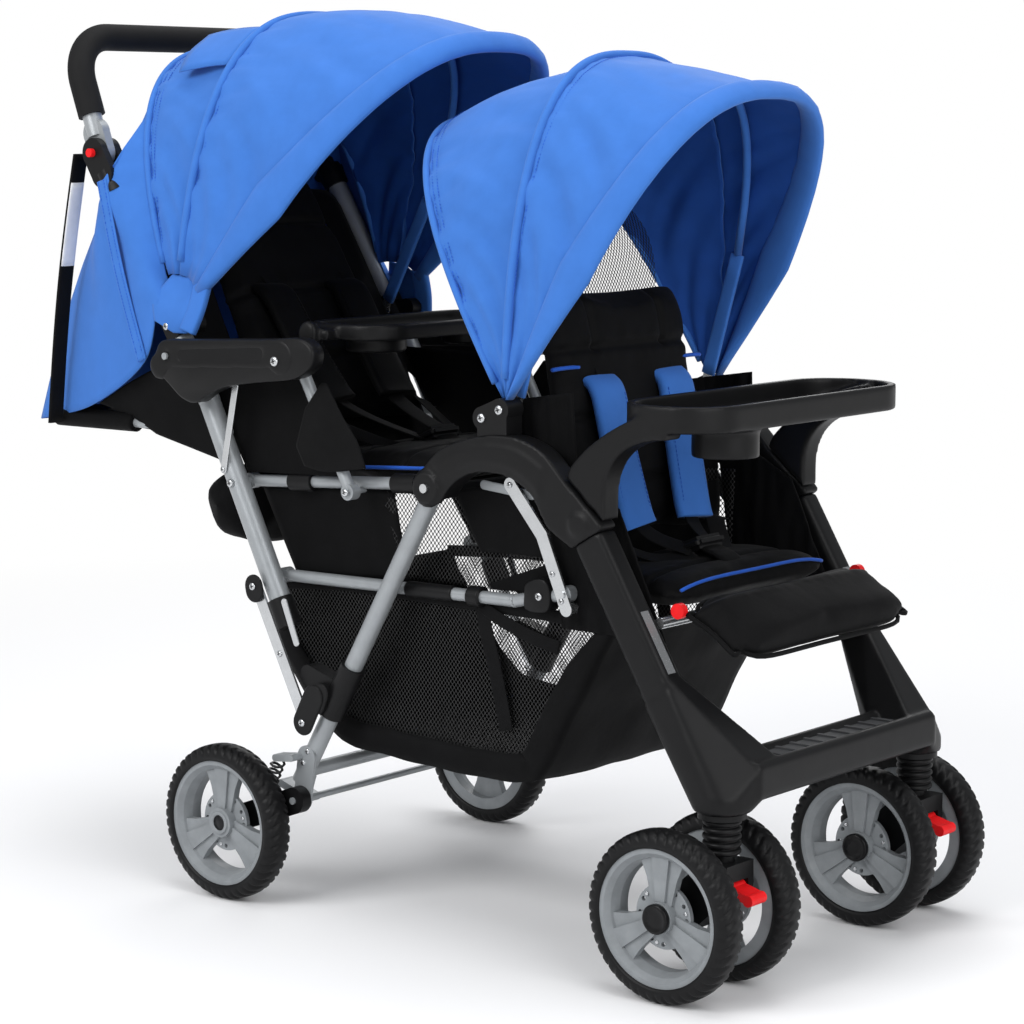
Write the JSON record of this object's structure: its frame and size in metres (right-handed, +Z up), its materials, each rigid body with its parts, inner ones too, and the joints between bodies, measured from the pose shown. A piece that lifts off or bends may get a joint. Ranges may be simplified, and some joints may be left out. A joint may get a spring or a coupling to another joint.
{
  "type": "tandem stroller",
  "caption": "Folding tandem stroller with two seats in line, two swinging canopies, trays, a calf rest, a basket, sprung swivel casters and a tilting handle.",
  "frame": {"origin": "on the floor, below the middle of the stroller's length and width", "axes": "+X forward, +Y to the stroller's left, +Z up"},
  "size_m": [1.105, 0.509, 1.0107],
  "materials": {
    "black_plastic": "satin moulded",
    "silver_tube": "satin silver paint",
    "steel": "plated",
    "wheel_grey": "satin silver grey",
    "tyre": "matt rubber foam",
    "red_plastic": "gloss",
    "blue_fabric": "woven polyester",
    "black_fabric": "woven polyester",
    "foam_grip": "closed-cell foam",
    "reflector": "retroreflective strip"
  },
  "bodies": {
    "front_frame": {"front_legs": "black_plastic", "footboard": "black_plastic", "arches": "black_plastic", "frame_steelwork": "steel", "reflectors": "reflector", "front_canopy_brackets": "black_plastic", "front_canopy_rear": "blue_fabric", "front_seat_pad": "black_fabric", "basket": "black_fabric"},
    "front_backrest": {"front_backrest": "black_fabric"},
    "calf_rest": {"calf_rest": "black_fabric"},
    "calf_button_right": {"calf_rest_button_right": "red_plastic"},
    "calf_button_left": {"calf_rest_button_left": "red_plastic"},
    "front_tray": {"front_tray": "black_plastic"},
    "front_visor": {"front_canopy_visor": "blue_fabric", "front_canopy_stays": "steel"},
    "seat_rails": {"seat_rails": "silver_tube", "rail_brackets": "black_plastic", "rear_seat_pad": "black_fabric"},
    "lower_rails": {"lower_rails": "silver_tube"},
    "pusher": {"pusher_tubes": "silver_tube", "pusher_fittings": "black_plastic", "rear_canopy_brackets": "black_plastic", "rear_canopy_rear": "blue_fabric", "back_drop": "blue_fabric", "deck_frame": "silver_tube", "wrist_strap": "black_fabric"},
    "fold_release": {"fold_release_buttons": "red_plastic"},
    "handle": {"handle_tube": "silver_tube", "handle_grip": "foam_grip"},
    "handle_button_right": {"handle_button_right": "red_plastic"},
    "handle_button_left": {"handle_button_left": "red_plastic"},
    "rear_visor": {"rear_canopy_visor": "blue_fabric", "rear_canopy_stays": "steel"},
    "rear_backrest": {"rear_backrest": "black_fabric"},
    "armrests": {"armrests": "black_plastic"},
    "rear_tray": {"rear_tray": "black_plastic"},
    "struts": {"struts": "silver_tube"},
    "fold_links": {"fold_links": "steel"},
    "rear_legs": {"rear_legs": "silver_tube", "latch_brackets": "black_plastic", "rear_springs": "steel"},
    "brake": {"brake_bar": "silver_tube"},
    "rear_arm_right": {"rear_arm_right": "black_plastic"},
    "rear_wheel_right": {"rear_rim_right": "wheel_grey", "rear_tyre_right": "tyre"},
    "caster_right": {"caster_housing_right": "black_plastic"},
    "caster_fork_right": {"caster_fork_right": "black_plastic"},
    "caster_lever_right": {"caster_lever_right": "red_plastic"},
    "front_wheels_right": {"front_rims_right": "wheel_grey", "front_tyres_right": "tyre"},
    "rear_arm_left": {"rear_arm_left": "black_plastic"},
    "rear_wheel_left": {"rear_rim_left": "wheel_grey", "rear_tyre_left": "tyre"},
    "caster_left": {"caster_housing_left": "black_plastic"},
    "caster_fork_left": {"caster_fork_left": "black_plastic"},
    "caster_lever_left": {"caster_lever_left": "red_plastic"},
    "front_wheels_left": {"front_rims_left": "wheel_grey", "front_tyres_left": "tyre"}
  },
  "joints": [
    {"name": "frame_fold", "type": "hinge", "parent": "front_frame", "child": "seat_rails", "pos_m": [0.1175, 0, 0.494], "axis": [0, -1, 0], "range_deg": [0, 60], "deforming": ["front_canopy_rear", "front_canopy_visor", "rear_canopy_rear", "rear_canopy_visor", "back_drop", "rear_seat_pad", "rear_backrest", "basket", "rear_canopy_stays", "front_canopy_stays"]},
    {"name": "pusher_turn", "type": "hinge", "parent": "seat_rails", "child": "pusher", "pos_m": [-0.1815, 0, 0.475], "axis": [0, -1, 0], "range_deg": [-88.12, 0]},
    {"name": "rear_leg_turn", "type": "hinge", "parent": "front_frame", "child": "rear_legs", "pos_m": [0.1175, 0, 0.494], "axis": [0, -1, 0], "range_deg": [0, 35.5]},
    {"name": "lower_rail_turn", "type": "hinge", "parent": "front_frame", "child": "lower_rails", "pos_m": [0.2805, 0, 0.391], "axis": [0, -1, 0], "range_deg": [0, 41.62]},
    {"name": "strut_turn", "type": "hinge", "parent": "seat_rails", "child": "struts", "pos_m": [-0.0075, 0, 0.478], "axis": [0, -1, 0], "range_deg": [-88.12, 0]},
    {"name": "armrest_turn", "type": "hinge", "parent": "pusher", "child": "armrests", "pos_m": [-0.2595, 0, 0.618], "axis": [0, -1, 0], "range_deg": [0, 88.12]},
    {"name": "fold_link_turn", "type": "hinge", "parent": "pusher", "child": "fold_links", "pos_m": [-0.1395, 0, 0.361], "axis": [0, -1, 0], "range_deg": [0, 110.2]},
    {"name": "fold_release_press", "type": "slide", "parent": "pusher", "child": "fold_release", "axis": [1, 0, 0], "range_m": [0, 0.004], "stiffness_N_per_m": 400},
    {"name": "handle_tilt", "type": "hinge", "parent": "pusher", "child": "handle", "pos_m": [-0.4005, 0, 0.848], "axis": [0, -1, 0], "range_deg": [-40, 40]},
    {"name": "handle_button_right_press", "type": "slide", "parent": "pusher", "child": "handle_button_right", "axis": [0, 1, 0], "range_m": [0, 0.003], "stiffness_N_per_m": 400},
    {"name": "handle_button_left_press", "type": "slide", "parent": "pusher", "child": "handle_button_left", "axis": [0, -1, 0], "range_m": [0, 0.003], "stiffness_N_per_m": 400},
    {"name": "rear_canopy_fold", "type": "hinge", "parent": "pusher", "child": "rear_visor", "pos_m": [-0.2795, 0, 0.65], "axis": [0, -1, 0], "range_deg": [0, 32]},
    {"name": "front_canopy_fold", "type": "hinge", "parent": "front_frame", "child": "front_visor", "pos_m": [0.2155, 0, 0.584], "axis": [0, -1, 0], "range_deg": [0, 30]},
    {"name": "rear_backrest_recline", "type": "hinge", "parent": "pusher", "child": "rear_backrest", "pos_m": [-0.1785, 0, 0.52], "axis": [0, -1, 0], "range_deg": [0, 18]},
    {"name": "front_backrest_recline", "type": "hinge", "parent": "front_frame", "child": "front_backrest", "pos_m": [0.2475, 0, 0.424], "axis": [0, -1, 0], "range_deg": [0, 20]},
    {"name": "rear_tray_swing", "type": "hinge", "parent": "armrests", "child": "rear_tray", "pos_m": [-0.0855, 0, 0.621], "axis": [0, -1, 0], "range_deg": [0, 40]},
    {"name": "front_tray_pull", "type": "slide", "parent": "front_frame", "child": "front_tray", "axis": [0.6532, 0, 0.7572], "range_m": [0, 0.03]},
    {"name": "calf_rest_tilt", "type": "hinge", "parent": "front_frame", "child": "calf_rest", "pos_m": [0.4275, 0, 0.389], "axis": [0, -1, 0], "range_deg": [0, 40]},
    {"name": "calf_button_right_press", "type": "slide", "parent": "calf_rest", "child": "calf_button_right", "axis": [0, 1, 0], "range_m": [0, 0.003], "stiffness_N_per_m": 400},
    {"name": "calf_button_left_press", "type": "slide", "parent": "calf_rest", "child": "calf_button_left", "axis": [0, -1, 0], "range_m": [0, 0.003], "stiffness_N_per_m": 400},
    {"name": "brake_press", "type": "hinge", "parent": "rear_legs", "child": "brake", "pos_m": [-0.0965, 0, 0.114], "axis": [0, -1, 0], "range_deg": [0, 25]},
    {"name": "rear_suspension_right", "type": "hinge", "parent": "rear_legs", "child": "rear_arm_right", "pos_m": [-0.0765, -0.205, 0.122], "axis": [0, 1, 0], "range_deg": [0, 7], "stiffness_Nm_per_rad": 120, "springref_deg": -5.73, "deforming": ["rear_springs"]},
    {"name": "rear_wheel_right_spin", "type": "hinge", "parent": "rear_arm_right", "child": "rear_wheel_right", "pos_m": [-0.1605, -0.235, 0.09], "axis": [0, -1, 0], "continuous": true},
    {"name": "caster_right_swivel", "type": "hinge", "parent": "front_frame", "child": "caster_right", "pos_m": [0.4955, -0.185, 0.15], "axis": [0, 0, 1], "continuous": true},
    {"name": "caster_right_suspension", "type": "slide", "parent": "caster_right", "child": "caster_fork_right", "axis": [0, 0, 1], "range_m": [0, 0.005], "stiffness_N_per_m": 9000, "springref_m": -0.008},
    {"name": "caster_right_lock", "type": "hinge", "parent": "caster_fork_right", "child": "caster_lever_right", "pos_m": [0.5095, -0.185, 0.1165], "axis": [0, -1, 0], "range_deg": [0, 22]},
    {"name": "front_wheels_right_spin", "type": "hinge", "parent": "caster_fork_right", "child": "front_wheels_right", "pos_m": [0.4625, -0.185, 0.09], "axis": [0, -1, 0], "continuous": true},
    {"name": "rear_suspension_left", "type": "hinge", "parent": "rear_legs", "child": "rear_arm_left", "pos_m": [-0.0765, 0.205, 0.122], "axis": [0, 1, 0], "range_deg": [0, 7], "stiffness_Nm_per_rad": 120, "springref_deg": -5.73},
    {"name": "rear_wheel_left_spin", "type": "hinge", "parent": "rear_arm_left", "child": "rear_wheel_left", "pos_m": [-0.1605, 0.235, 0.09], "axis": [0, -1, 0], "continuous": true},
    {"name": "caster_left_swivel", "type": "hinge", "parent": "front_frame", "child": "caster_left", "pos_m": [0.4955, 0.185, 0.15], "axis": [0, 0, 1], "continuous": true},
    {"name": "caster_left_suspension", "type": "slide", "parent": "caster_left", "child": "caster_fork_left", "axis": [0, 0, 1], "range_m": [0, 0.005], "stiffness_N_per_m": 9000, "springref_m": -0.008},
    {"name": "caster_left_lock", "type": "hinge", "parent": "caster_fork_left", "child": "caster_lever_left", "pos_m": [0.5095, 0.185, 0.1165], "axis": [0, -1, 0], "range_deg": [0, 22]},
    {"name": "front_wheels_left_spin", "type": "hinge", "parent": "caster_fork_left", "child": "front_wheels_left", "pos_m": [0.4625, 0.185, 0.09], "axis": [0, -1, 0], "continuous": true}
  ],
  "couplings": [
    {"joint": "pusher_turn", "follows": "frame_fold", "ratio": -1.452},
    {"joint": "rear_leg_turn", "follows": "frame_fold", "ratio": 0.575},
    {"joint": "lower_rail_turn", "follows": "frame_fold", "ratio": 0.677},
    {"joint": "strut_turn", "follows": "frame_fold", "ratio": -1.452},
    {"joint": "armrest_turn", "follows": "frame_fold", "ratio": 1.452},
    {"joint": "fold_link_turn", "follows": "frame_fold", "ratio": 1.82}
  ]
}
